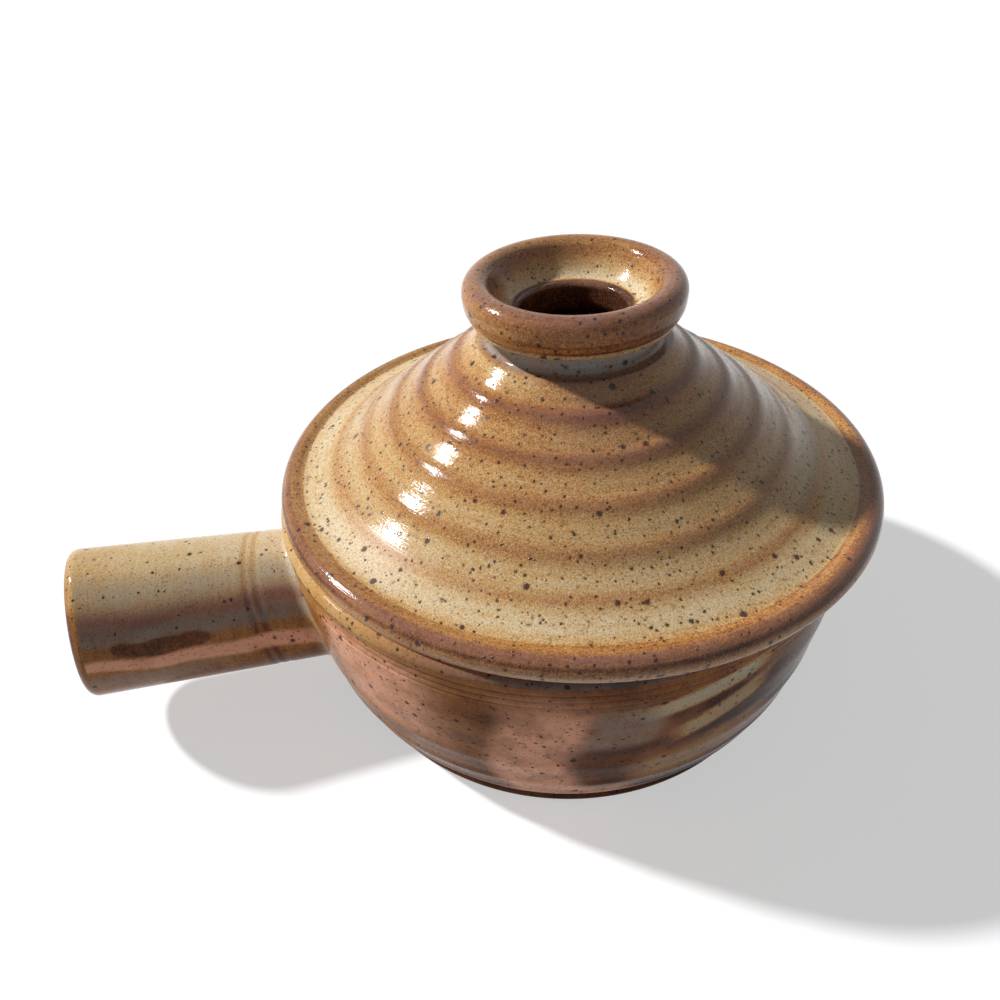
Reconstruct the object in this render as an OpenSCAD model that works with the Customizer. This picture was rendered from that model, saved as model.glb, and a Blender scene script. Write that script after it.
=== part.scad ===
// Hand-thrown stoneware microwave cooker: a lidded bowl with a hollow stick handle.
// The origin is on the bowl's axis at the foot. +Z is up and the handle points along -X.

/* [Bowl] */
// Height of the bowl from its foot to the flat of its rim
bowl_h = 61.4; // [56:0.2:70]
// Outer radius of the bowl at its rim
rim_r = 76.7; // [74:0.1:79]
// Thickness of the bowl's wall
bowl_wall = 6.5; // [5.5:0.25:8]
// Thickness of the bowl's floor
floor_t = 7; // [5:0.25:9]
// Rounding of the rim's outer corner
rim_round = 2.3; // [1.5:0.1:2.6]
// Rounding of the rim's inner corner
rim_in_round = 1.2; // [0.8:0.1:2]
// Outer radius of the foot's bead
foot_r = 66; // [62:0.1:68]
// Height of the foot's bead
foot_h = 4; // [3:0.25:6]
// Depth of the tooled line above the foot's bead
foot_line = 0.3; // [0.2:0.1:1]
// Angle at which the wall leaves the foot, from level
turn_angle = 53; // [42:1:64]
// Fullness of the curve above the foot
turn_len = 3.4; // [2:0.2:10]
// Outward lean of the upper wall
wall_lean = 2.8; // [2:0.2:6]
// Size of the cove between the floor and the wall inside
cove_r = 24; // [16:1:30]

/* [Throwing marks on the bowl] */
// Number of soft rings on the outer wall
wall_rings = 5; // [3:1:7]
// Depth of the soft rings on the outer wall
wall_ring_d = 0.22; // [0.1:0.02:0.4]
// Number of fine lines below the rim
rim_lines = 3; // [1:1:4]
// Distance between the fine lines
rim_line_pitch = 2.1; // [1.6:0.1:2.6]
// Depth of the fine lines
rim_line_d = 0.35; // [0.2:0.05:0.6]

/* [Handle] */
// Distance from the bowl's axis to the handle's open end
handle_reach = 136.9; // [115:0.5:160]
// Height of the handle's axis, carried on to the bowl's axis
handle_z = 26; // [24:0.1:27]
// Upward tilt of the handle
handle_tilt = 3.5; // [0:0.1:4]
// Radius of the handle beside the bowl
handle_root_r = 18.9; // [17:0.1:20]
// Radius of the handle at its open end
handle_end_r = 20.4; // [18:0.1:22]
// Thickness of the handle's wall
handle_wall = 4.6; // [4:0.2:6]
// Rounding of the outer corner at the handle's open end
end_round = 2.8; // [1.5:0.1:3]
// Rounding of the inner corner at the handle's open end
mouth_round = 1.4; // [0.8:0.1:1.6]
// Slant of the cut-off open end, towards the front
end_turn = 9; // [0:0.5:12]
// Slant of the cut-off open end, upwards
end_lift = 4.5; // [0:0.5:6]
// Length of the flare that joins the handle to the bowl
luting_len = 9; // [6:0.5:12]
// Height of the flare that joins the handle to the bowl
luting_h = 0.7; // [0.4:0.1:2]
// Number of finger rings beside the flare
handle_rings = 2; // [1:1:3]
// Distance from the bowl's rim to the first finger ring
handle_ring_gap = 10.8; // [9.5:0.1:14]
// Distance between the finger rings
handle_ring_pitch = 2.5; // [2:0.1:4]
// Depth of the finger rings
handle_ring_d = 0.3; // [0.2:0.05:0.5]

/* [Lid] */
// Largest radius of the lid
lid_r = 80; // [76:0.2:84]
// Height of the lid's rounded edge above its seat
edge_h = 5.6; // [5:0.1:7]
// Width of the rounded edge, from the lid's side to the dip inside it
edge_w = 6.4; // [5:0.2:8]
// How far the lid's side leans in towards its seat
edge_lean = 0.4; // [0:0.1:1.5]
// Rounding of the lid's lower corner
toe_round = 0.8; // [0.5:0.1:1.2]
// Depth of the shallow dip inside the rounded edge
brim_dip = 0.8; // [0.4:0.1:1.5]
// Slope of the brim beside the dip
brim_slope = 4; // [2:0.5:10]
// Slope of the cone beside the neck
cone_slope = 36.5; // [34:0.5:40]
// Height of the cone's top above the seat
cone_h = 37.4; // [35:0.1:38.2]
// Radius of the cone's top
cone_top_r = 24.4; // [23.5:0.1:26]
// Thickness of the lid's wall
lid_wall = 6; // [5:0.25:7]
// Distance that the lid lies off the bowl's axis, away from the handle
lid_shift_x = 4; // [0:0.1:4.2]
// Distance that the lid lies off the bowl's axis, to the back
lid_shift_y = 1.4; // [-2:0.1:2]

/* [Lid flange] */
// Depth of the flange that drops inside the bowl
flange_h = 7; // [4:0.5:9]
// Thickness of the flange
flange_t = 5; // [4:0.25:7]
// Gap all round between the flange and the bowl's rim when the lid is centred
flange_gap = 5; // [4.8:0.1:7]

/* [Throwing rings on the lid] */
// Number of rings on the cone
cone_rings = 5; // [3:1:5]
// Distance between the rings, measured level
cone_ring_pitch = 8.3; // [7:0.1:8.6]
// Radius of the highest ring
cone_ring_r = 31; // [30.9:0.1:33]
// Height of the highest ring, fading to nothing at the brim
cone_ring_d = 0.6; // [0.3:0.05:0.8]

/* [Vent knob] */
// Radius of the vent through the knob
vent_r = 12.9; // [10:0.1:14]
// Rounding of the vent's upper edge
vent_round = 1.4; // [1:0.1:2]
// Height of the vent's edge above the seat
vent_z = 45.5; // [44.4:0.1:46.6]
// Radius of the rolled rim's centre line
roll_r = 23.6; // [22.5:0.1:26]
// Half thickness of the rolled rim
roll_t = 3.5; // [3:0.1:4]
// Height of the rolled rim's centre line above the seat
roll_z = 50.6; // [49.4:0.1:52.6]
// Radius at the foot of the knob's outer face
face_r = 25.6; // [25:0.1:26.2]
// Height of the foot of the knob's outer face above the seat
face_z = 44.4; // [43.9:0.1:45.1]
// Height of the small tooled step under the outer face
step_h = 1.5; // [1:0.1:1.8]
// Radius of the neck under the knob
neck_r = 21.5; // [20.5:0.1:22.5]

/* [Hidden] */
$fn = 96;
axis_r = 0;
wall_steps = 24;
cone_steps = 60;
arc_steps = 7;
roll_steps = 14;

rim_in_r = rim_r - bowl_wall;
flange_r = rim_in_r - flange_gap;
flange_in_r = flange_r - flange_t;
line_zone = rim_line_pitch * (rim_lines + 0.5);
wall_top = [rim_r - line_zone * tan(wall_lean), bowl_h - rim_round - line_zone];
wall_foot = [foot_r - foot_line, foot_h];
bore_end_r = handle_end_r - handle_wall;
bore_root_r = handle_root_r - handle_wall;
handle_in = rim_in_r - bowl_wall;
handle_far = handle_reach + handle_end_r / 2;
end_slip = 0.4;
cone_top = [cone_top_r, cone_h];
brim = [lid_r - edge_w, edge_h - brim_dip];

// Curves and arcs as lists of [radius, height] points
function bend2(a, b, c, n) = [for (i = [0:n]) let (t = i / n)
    pow(1 - t, 2) * a + 2 * (1 - t) * t * b + t * t * c];
function bend3(a, b, c, d, n) = [for (i = [0:n]) let (t = i / n)
    pow(1 - t, 3) * a + 3 * pow(1 - t, 2) * t * b + 3 * (1 - t) * t * t * c + pow(t, 3) * d];
function arc(x, y, r, a, b, n = arc_steps) = [for (i = [0:n]) let (t = a + (b - a) * i / n)
    [x + r * cos(t), y + r * sin(t)]];
// A ring left by a finger: a crest sharper than the hollow beside it, from -1 to 1
function ring(turns) = (cos(360 * turns) + 0.3 * cos(720 * turns)) / 1.3;

// Outer wall of the bowl, from the foot up, with its soft rings
function wall_curve() =
    let (a = wall_foot,
         b = a + turn_len * [cos(turn_angle), sin(turn_angle)],
         d = wall_top,
         c = d - (d[1] - b[1]) * 0.81 * [tan(wall_lean), 1],
         run = bend3(a, b, c, d, wall_steps))
    [for (i = [0:wall_steps]) let (t = i / wall_steps)
        run[i] + [sin(180 * t) * wall_ring_d * ring(t * (wall_rings + 0.5)), 0]];
// Fine tooled lines between the wall and the rounded rim
function line_curve() = [for (i = [0:rim_lines - 1], k = [1:4])
    let (z = wall_top[1] + rim_line_pitch * (i + k / 4),
         lean = (wall_top[1] + line_zone - z) * tan(wall_lean))
    [rim_r - lean - (k == 2 ? rim_line_d : 0), z]];
function bowl_outline() = concat(
    [[axis_r, 0]],
    arc(foot_r - foot_h / 2, foot_h / 2, foot_h / 2, -90, 60),
    wall_curve(),
    line_curve(),
    arc(rim_r - rim_round, bowl_h - rim_round, rim_round, 0, 90),
    [[axis_r, bowl_h]]);
// Space inside the bowl, open at the rim
function bowl_space() =
    let (low = [rim_in_r - (bowl_h - rim_in_round - floor_t - cove_r) * tan(wall_lean), floor_t + cove_r],
         pull = 0.55 * cove_r)
    concat(
        [[axis_r, bowl_h + rim_in_round], [rim_in_r + rim_in_round, bowl_h + rim_in_round]],
        arc(rim_in_r + rim_in_round, bowl_h - rim_in_round, rim_in_round, 90, 180),
        bend3(low, low - pull * [tan(wall_lean), 1],
              [low[0] - cove_r + pull * 0.6, floor_t], [low[0] - cove_r * 1.2, floor_t], 14),
        [[axis_r, floor_t]]);

// Outside of the handle as [radius, distance from the bowl's axis]
function handle_r(s) = handle_root_r
    + (handle_end_r - handle_root_r) * (s - rim_r) / (handle_reach - rim_r);
function handle_outline() =
    let (a = rim_r - luting_len / 2, b = rim_r + handle_ring_gap - handle_ring_pitch / 2)
    concat(
        [[axis_r, handle_in], [handle_r(a) + luting_h, handle_in]],
        [for (i = [0:6]) let (t = i / 6)
            [handle_r(a + luting_len * t) + luting_h * pow(1 - t, 2), a + luting_len * t]],
        [for (i = [0:handle_rings - 1], k = [0:5]) let (s = b + handle_ring_pitch * (i + k / 5))
            if (i == 0 || k > 0) [handle_r(s) - handle_ring_d * (1 - cos(72 * k)) / 2, s]],
        [[handle_r(handle_far), handle_far], [axis_r, handle_far]]);
function bore_outline() = [
    [axis_r, foot_r / 2], [bore_root_r, foot_r / 2], [bore_root_r, rim_r],
    [handle_r(handle_far) - handle_wall, handle_far], [axis_r, handle_far]];
// Room that holds the handle up to its slanted, rounded end
function end_outline() = concat(
    [[axis_r, -handle_reach], [rim_r, -handle_reach], [rim_r, -end_round * 3]],
    arc(handle_end_r + end_slip - end_round, -end_round, end_round, 0, 90),
    [[axis_r, 0]]);
function mouth_outline() = concat(
    [[axis_r, mouth_round], [bore_end_r - end_slip + mouth_round, mouth_round]],
    arc(bore_end_r - end_slip + mouth_round, -mouth_round, mouth_round, 90, 180, 5),
    [[axis_r, -mouth_round]]);

// Line of the lid's top from the neck out to the dip inside its edge
function cone_line() =
    let (m = tan(cone_slope), n = tan(brim_slope),
         r = (cone_top[1] - brim[1] + m * cone_top[0] - n * brim[0]) / (m - n))
    bend2(cone_top, [r, brim[1] + n * (brim[0] - r)], brim, cone_steps);
// The same line with the throwing rings, strongest beside the neck
function cone_curve() =
    let (first = cone_ring_r - cone_ring_pitch * 0.75,
         last = cone_ring_r + cone_ring_pitch * (cone_rings - 0.25))
    [for (p = cone_line()) let (
        fade = p[0] < first || p[0] > last ? 0
             : min(1, (p[0] - first) / cone_ring_pitch * 2) * pow((last - p[0]) / (last - first), 0.6))
        p + [0, cone_ring_d * fade * ring((p[0] - cone_ring_r) / cone_ring_pitch)]];
// The rounded edge, from the dip over the crest and down the side to the seat
function edge_curve() =
    let (crest = [lid_r - edge_w / 2, edge_h],
         side = [lid_r, edge_h * 0.35],
         toe = [lid_r - edge_lean - toe_round, toe_round])
    concat(
        bend3(brim, brim + [edge_w * 0.22, 0], crest - [edge_w * 0.22, 0], crest, 6),
        bend3(crest, crest + [edge_w * 0.24, 0], side + [0, edge_h * 0.35], side, 8),
        arc(toe[0], toe[1], toe_round, 0, -90, 4));
// The knob from the vent's edge up the dish, over the rolled rim and down to the neck
function knob_curve() =
    let (dish_end = 150,
         face_top = [roll_r + roll_t, roll_z], face_low = [face_r, face_z],
         top = [roll_r + roll_t * cos(dish_end), roll_z + roll_t * sin(dish_end)],
         lead = (top[1] - vent_z) * 0.87 * [sin(dish_end), -cos(dish_end)],
         step = step_h / 2)
    concat(
        arc(vent_r + vent_round, vent_z - vent_round, vent_round, 180, 90, 5),
        bend3([vent_r + vent_round, vent_z], [vent_r + vent_round * 2.5, vent_z], top - lead, top, 9),
        arc(roll_r, roll_z, roll_t, dish_end, 0, roll_steps),
        bend3(face_top, face_top - [0, (roll_z - face_z) * 0.55],
              face_low + [0.9, 1.6] * step_h / 1.5, face_low, 7),
        [[face_r - step * 0.8, face_z - step * 0.4]],
        arc(face_r - step * 1.4, face_z - step * 1.3, step, 40, -90, 5),
        bend2([neck_r + 0.8, face_z - step_h * 1.2], [neck_r, face_z - step_h * 1.4],
              [neck_r, face_z - step_h * 2], 3),
        bend2([neck_r, cone_h + 1.2], [neck_r, cone_h - 0.3], [neck_r + 1.2, cone_h - 0.3], 4));
// Underside of the lid: seat, flange, dome and the way up into the vent
function under_curve() =
    let (line = cone_line(),
         dome = [for (i = [cone_steps - 2:-2:0])
             let (d = line[i + 1] - line[i], p = line[i] + lid_wall * [d[1], -d[0]] / norm(d))
             if (p[0] < flange_in_r - 4) p],
         first = dome[0],
         last = dome[len(dome) - 1],
         lift = tan(cone_slope),
         mouth = [vent_r + 3, last[1] + (last[0] - vent_r - 3) * lift])
    concat(
        [[flange_r, 0]],
        arc(flange_r - 1, 1 - flange_h, 1, 0, -90, 3),
        arc(flange_in_r + 1, 1 - flange_h, 1, -90, -180, 3),
        bend2([flange_in_r, -flange_h / 3],
              [flange_in_r, first[1] - (flange_in_r - first[0]) * lift * 0.8], first, 6),
        dome,
        bend2(mouth, mouth + [-3, 3 * lift], [vent_r, mouth[1] + 4.6], 5));

module bowl_body() rotate_extrude() polygon(bowl_outline());
module bowl_hollow() rotate_extrude() polygon(bowl_space());
module along_handle() translate([0, 0, handle_z]) rotate([0, handle_tilt - 90, 0]) children();
module at_end() along_handle() translate([0, 0, handle_reach]) rotate([end_turn, end_lift, 0]) children();
module handle_tube() intersection() {
    along_handle() rotate_extrude() polygon(handle_outline());
    at_end() rotate_extrude() polygon(end_outline());
}
module handle_bore() {
    along_handle() rotate_extrude() polygon(bore_outline());
    at_end() rotate_extrude() polygon(mouth_outline());
}

// Thrown bowl with the thrown handle luted on, fired as one piece
module bowl() color([0.66, 0.47, 0.28]) difference() {
    union() {
        bowl_body();
        handle_tube();
    }
    bowl_hollow();
    difference() {
        handle_bore();
        bowl_body();
    }
}

// Thrown lid with its flange and its open, flared knob, resting on the rim
module lid() color([0.76, 0.58, 0.36]) translate([lid_shift_x, lid_shift_y, bowl_h])
    rotate_extrude() polygon(concat(knob_curve(), cone_curve(), edge_curve(), under_curve()));

bowl();
lid();
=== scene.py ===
"""Glazed surfaces, floor, lamp and camera of a hand-thrown stoneware microwave cooker."""

import math
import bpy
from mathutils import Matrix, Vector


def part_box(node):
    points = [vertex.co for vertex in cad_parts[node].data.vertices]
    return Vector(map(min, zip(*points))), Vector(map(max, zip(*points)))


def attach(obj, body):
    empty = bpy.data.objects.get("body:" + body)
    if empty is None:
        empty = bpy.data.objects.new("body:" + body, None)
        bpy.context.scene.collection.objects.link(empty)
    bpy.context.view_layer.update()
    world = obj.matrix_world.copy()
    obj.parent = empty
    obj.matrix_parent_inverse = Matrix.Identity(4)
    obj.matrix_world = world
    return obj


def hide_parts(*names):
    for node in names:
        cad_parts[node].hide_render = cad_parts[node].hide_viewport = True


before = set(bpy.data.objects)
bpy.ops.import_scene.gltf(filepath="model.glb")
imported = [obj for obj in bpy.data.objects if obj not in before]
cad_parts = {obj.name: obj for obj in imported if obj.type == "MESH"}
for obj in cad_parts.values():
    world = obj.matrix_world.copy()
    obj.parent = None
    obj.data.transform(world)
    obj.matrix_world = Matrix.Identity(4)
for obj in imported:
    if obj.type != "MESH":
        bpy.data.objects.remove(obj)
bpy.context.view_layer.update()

from types import SimpleNamespace

import bpy
import numpy as np
from bpy.props import FloatProperty, FloatVectorProperty, IntProperty, PointerProperty
from mathutils import Matrix, Vector

bl_info = {
    "name": "Stoneware Microwave Cooker",
    "version": (1, 0, 0),
    "blender": (4, 5, 0),
    "location": "View3D > Sidebar > Cooker",
    "description": "Builds a thrown and glazed stoneware cooker with a hollow handle and a vented lid",
    "category": "Object",
}

FULL_TURN = 2 * math.pi
FRONT = math.radians(-107)  # turn about the upright axis that faces the camera
BOWL_AROUND, HANDLE_AROUND, LID_AROUND = 288, 192, 276  # points once round each piece
SAME_PLACE = 1e-6  # points closer than this, in millimetres, are one point
SENSOR_WIDTH = 36.0
BOWL_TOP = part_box("bowl")[1].z
LID_LOW, LID_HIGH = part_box("lid")


def length(name, description, default, high=0.3):
    """A length in metres that shows in the scene's own unit."""
    return FloatProperty(name=name, description=description, default=default, min=0.0, max=high,
                         unit="LENGTH", subtype="DISTANCE", precision=4)


def angle(name, description, degrees, low=-90.0, high=90.0):
    """An angle that shows in degrees."""
    return FloatProperty(name=name, description=description, default=math.radians(degrees),
                         min=math.radians(low), max=math.radians(high), unit="ROTATION", subtype="ANGLE")


def share(name, description, default, high=1.0):
    """A plain amount from nothing up."""
    return FloatProperty(name=name, description=description, default=default, min=0.0, max=high)


def number(name, description, default, high):
    """A count of one or more."""
    return IntProperty(name=name, description=description, default=default, min=1, max=high)


def colour(name, description, default):
    """A colour of the glaze, the clay or the floor."""
    return FloatVectorProperty(name=name, description=description, default=default, size=3,
                               min=0.0, max=1.0, subtype="COLOR")


class CookerBowlSizes(bpy.types.PropertyGroup):
    """Sizes of the thrown bowl"""
    height: length("Height", "From the foot to the flat of the rim", BOWL_TOP)
    rim_radius: length("Rim radius", "Outer radius at the rim", 0.0767)
    wall: length("Wall", "Thickness of the wall", 0.0065)
    floor: length("Floor", "Thickness of the floor", 0.007)
    foot_radius: length("Foot radius", "Outer radius of the foot's bead", 0.066)
    foot_height: length("Foot height", "Height of the foot's bead", 0.004)
    foot_tuck: length("Foot tuck", "How far inside the bead's edge the wall starts", 0.0003)
    rim_round: length("Rim rounding", "Rounding of the rim's outer corner", 0.0023)
    inner_round: length("Inner rounding", "Rounding of the rim's inner corner", 0.0012)
    cove: length("Cove", "Size of the cove between the floor and the wall", 0.024)
    leave_angle: angle("Foot angle", "Angle at which the wall leaves the foot", 53)
    lean: angle("Lean", "Outward lean of the upper wall", 2.8)
    fullness: length("Fullness", "Fullness of the curve above the foot", 0.0034)
    straightness: share("Straightness", "How much of the wall follows its lean", 0.81)
    ring_depth: length("Ring depth", "Depth of the soft throwing rings", 0.00022)
    line_pitch: length("Line pitch", "Distance between the fine lines under the rim", 0.0021)
    line_depth: length("Line depth", "Depth of the fine lines under the rim", 0.00035)
    rings: number("Rings", "Number of soft throwing rings", 5, 9)
    lines: number("Lines", "Number of fine lines under the rim", 3, 5)


class CookerHandleSizes(bpy.types.PropertyGroup):
    """Sizes of the thrown, hollow handle"""
    reach: length("Reach", "From the bowl's axis to the open end", 0.1369)
    axis_height: length("Axis height", "Height of the handle's axis, carried on to the bowl's axis", 0.026)
    tilt: angle("Tilt", "Upward tilt", 3.5)
    root_radius: length("Root radius", "Radius beside the bowl", 0.0189)
    end_radius: length("End radius", "Radius at the open end", 0.0204)
    wall: length("Wall", "Thickness of the wall", 0.0046)
    end_round: length("End rounding", "Rounding of the outer corner at the open end", 0.0028)
    mouth_round: length("Mouth rounding", "Rounding of the inner corner at the open end", 0.0014)
    end_turn: angle("End turn", "Slant of the cut end towards the front", 9)
    end_lift: angle("End lift", "Slant of the cut end upwards", 4.5)
    bore_end: length("Bore end", "From the bowl's axis to the closed end of the bore", 0.072)
    fillet: length("Fillet", "Smeared clay round the joint with the bowl", 0.0026)
    ring_gap: length("Ring gap", "From the bowl's rim to the first finger ring", 0.0108)
    ring_pitch: length("Ring pitch", "Distance between the finger rings", 0.0025)
    ring_depth: length("Ring depth", "Depth of the finger rings", 0.00014)


class CookerLidSizes(bpy.types.PropertyGroup):
    """Sizes of the thrown lid and its vent knob"""
    radius: length("Radius", "Largest radius", (LID_HIGH.x - LID_LOW.x) / 2)
    edge_height: length("Edge height", "Height of the rounded edge above the seat", 0.0056)
    edge_width: length("Edge width", "Width of the rounded edge", 0.0064)
    edge_lean: length("Edge lean", "How far the side leans in towards the seat", 0.0004)
    toe_round: length("Toe rounding", "Rounding of the lower corner", 0.0008)
    dip: length("Dip", "Depth of the shallow dip inside the edge", 0.0008)
    brim_slope: angle("Brim slope", "Slope of the brim beside the dip", 4)
    cone_slope: angle("Cone slope", "Slope beside the neck", 36.5)
    cone_height: length("Cone height", "Height of the cone's top above the seat", 0.0374)
    cone_radius: length("Cone radius", "Radius of the cone's top", 0.0244)
    wall: length("Wall", "Thickness of the wall", 0.006)
    flange_radius: length("Flange radius", "Outer radius of the flange under the lid", 0.0652)
    flange_depth: length("Flange depth", "Depth of the flange", 0.007)
    flange_wall: length("Flange wall", "Thickness of the flange", 0.005)
    ring_pitch: length("Ring pitch", "Level distance between the throwing rings", 0.0083)
    ring_radius: length("Ring radius", "Radius of the highest throwing ring", 0.031)
    ring_height: length("Ring height", "Height of the highest throwing ring", 0.0006)
    vent_radius: length("Vent radius", "Radius of the vent", 0.0129)
    vent_round: length("Vent rounding", "Rounding of the vent's upper edge", 0.0014)
    vent_height: length("Vent height", "Height of the vent's edge above the seat", 0.0455)
    roll_radius: length("Roll radius", "Radius of the rolled rim's centre line", 0.0236)
    roll_half: length("Roll thickness", "Half thickness of the rolled rim", 0.0035)
    roll_height: length("Roll height", "Height of the rolled rim's centre line", 0.0506)
    face_radius: length("Face radius", "Radius at the foot of the knob's outer face", 0.0256)
    face_height: length("Face height", "Height of the foot of the knob's outer face", 0.0444)
    step: length("Step", "Height of the small step under the outer face", 0.0015)
    neck_radius: length("Neck radius", "Radius of the neck under the knob", 0.0215)
    brim_ease: length("Brim ease", "How much lower the cone lies where it eases out into the brim", 0.0011)
    unevenness: length("Unevenness", "How far the thrown form wavers", 0.0003)
    knob_sink: length("Knob sink", "How much lower the rolled rim is in front", 0.0016)
    rings: number("Rings", "Number of throwing rings", 5, 7)


class CookerGlaze(bpy.types.PropertyGroup):
    """Colours of the glaze and the clay"""
    scorched: colour("Scorched", "Where the glaze is thinnest", (0.060, 0.022, 0.012))
    rust_brown: colour("Rust brown", "Thin glaze on sharp edges", (0.190, 0.065, 0.025))
    rust: colour("Rust", "Thin glaze on soft edges", (0.380, 0.150, 0.042))
    orange_tan: colour("Orange tan", "Between rust and tan", (0.540, 0.265, 0.075))
    golden_tan: colour("Golden tan", "Even glaze", (0.610, 0.370, 0.140))
    cream_tan: colour("Cream tan", "Thick glaze", (0.680, 0.490, 0.255))
    pale_cream: colour("Pale cream", "Thickest glaze", (0.760, 0.640, 0.430))
    purple_brown: colour("Purple brown", "Iron on the highest edges", (0.270, 0.125, 0.105))
    # Grey blue is pooled glaze, and also painted shade on the bowl's rim under the lid's edge and painted
    # reflections along the handle's sides.
    grey_blue: colour("Grey blue", "Glaze pooled in grooves", (0.300, 0.310, 0.310))
    # Salmon is painted warm reflections on the bowl's wall and the handle and a painted highlight on the
    # lid's toe, besides flushes where the glaze is thin.
    salmon: colour("Salmon", "Warm flashes low on the wall", (0.930, 0.460, 0.290))
    iron: colour("Iron", "The specks", (0.040, 0.022, 0.018))
    clay: colour("Clay", "Bare fired clay", (0.520, 0.390, 0.270))
    specks: share("Specks", "Strength of the iron specks", 0.9)
    grain: share("Grain", "Strength of the fine grain", 0.30)
    gloss: share("Roughness", "Roughness of the glaze", 0.10)
    shine: share("Shine", "How strongly the glaze mirrors what is round it", 0.2)


class CookerStage(bpy.types.PropertyGroup):
    """Floor, lamp and camera"""
    floor_colour: colour("Floor", "Colour of the floor under the lamp", (0.58, 0.58, 0.58))
    floor_glow: share("Floor glow", "How much paler the floor is shown than it lights the object", 0.51)
    floor_radius: length("Floor radius", "Radius of the floor", 12.0, 50.0)
    key_strength: share("Key strength", "Strength of the soft lamp on the left", 3.9, 20.0)
    key_spread: angle("Key spread", "Angle across the soft lamp, as seen from the object", 3.6)
    key_heading: angle("Key heading", "How far behind the object's left the lamp stands", 20)
    key_elevation: angle("Key elevation", "Height of the lamp as an angle", 40.5)
    fill: share("Fill", "Strength of the even light from all sides", 0.12, 2.0)
    camera_place: FloatVectorProperty(name="Camera place", description="Where the camera stands", size=3,
                                      default=(-0.04697, -0.16559, 0.18168), subtype="TRANSLATION")
    camera_heading: angle("Camera heading", "Turn of the camera about the upright axis", -10.102, -180, 180)
    camera_pitch: angle("Camera pitch", "How far the camera looks down", 37.711)
    camera_roll: angle("Camera roll", "Roll of the camera", -3.614)
    camera_lens: FloatProperty(name="Lens", description="Focal length in millimetres on a 36 mm sensor",
                               default=27.032, min=10.0, max=200.0)


def in_millimetres(group):
    """The values of a property group, with its lengths in millimetres."""
    values = {}
    for key in type(group).__annotations__:
        value, kind = getattr(group, key), group.bl_rna.properties[key]
        is_length = kind.type == "FLOAT" and kind.unit == "LENGTH"
        values[key] = value * 1000 if is_length else value
    return SimpleNamespace(**values)


# Curves of [radius, height] points in millimetres, and amounts that vary over them

def bend(*pulls, steps=24):
    """A Bezier curve through its first and last point, drawn towards the ones between."""
    t = np.linspace(0, 1, steps + 1)[:, None]
    rows = [np.array(p, float)[None, :] + 0 * t for p in pulls]
    while len(rows) > 1:
        rows = [(1 - t) * a + t * b for a, b in zip(rows, rows[1:])]
    return rows[0]


def arc(centre, radius, start, end, steps=16):
    """Part of a circle from one angle to another, in degrees."""
    turn = np.radians(np.linspace(start, end, steps + 1))
    return np.stack([centre[0] + radius * np.cos(turn), centre[1] + radius * np.sin(turn)], 1)


def distances(points):
    """How far along a line of points each of them is."""
    return np.concatenate([[0], np.cumsum(np.hypot(*np.diff(points, axis=0).T))])


def ring(turns):
    """A ring left by a finger, from -1 to 1: its crest is sharper than the hollow beside it."""
    return (np.cos(FULL_TURN * turns) + 0.3 * np.cos(2 * FULL_TURN * turns)) / 1.3


def smooth(value, low, high):
    """0 below low, 1 above high and an even rise between."""
    t = np.clip((value - low) / (high - low), 0, 1)
    return t * t * (3 - 2 * t)


def bump(value, middle, half_width):
    """1 at the middle, fading evenly to 0 on both sides."""
    return 1 - smooth(np.abs(value - middle), 0, half_width)


def self_edged(value, middle, half_width):
    """1 over most of the width, with a short fade at both edges."""
    return 1 - smooth(np.abs(value - middle) / half_width, 0.55, 1.15)


def once_round(count):
    """Even turns about the upright axis, in one row."""
    return np.linspace(0, FULL_TURN, count, endpoint=False)[None, :]


def turned_from(turn, start=0.0):
    """Turns measured from a start, from half a turn back to half a turn on."""
    return np.angle(np.exp(1j * (turn - start)))


def waver(turn, *waves):
    """A slow waver round the form: each wave is (times round, size, start)."""
    return sum(size * np.sin(times * turn + start) for times, size, start in waves)


class Outline:
    """A turned outline in millimetres, with the name of the zone that each point is in."""

    def __init__(self):
        self.points, self.zones = np.zeros((0, 2)), []

    def add(self, zone, curve, step):
        """Adds a curve that goes on from the last one, with even points at most a step apart."""
        curve = np.asarray(curve, float)
        run = distances(curve)
        at = np.linspace(0, run[-1], max(2, math.ceil(run[-1] / step) + 1))
        even = np.stack([np.interp(at, run, curve[:, k]) for k in (0, 1)], 1)
        if len(self.points) and np.hypot(*(even[0] - self.points[-1])) < 100 * SAME_PLACE:
            even = even[1:]
        self.points = np.vstack([self.points, even])
        self.zones += [zone] * len(even)

    def is_in(self, *zones):
        """1 for each point that lies in one of the zones, in a column."""
        return np.array([z in zones for z in self.zones])[:, None]

    def columns(self):
        """Radius and height of each point, in two columns."""
        return self.points[:, 0:1], self.points[:, 1:2]


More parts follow.
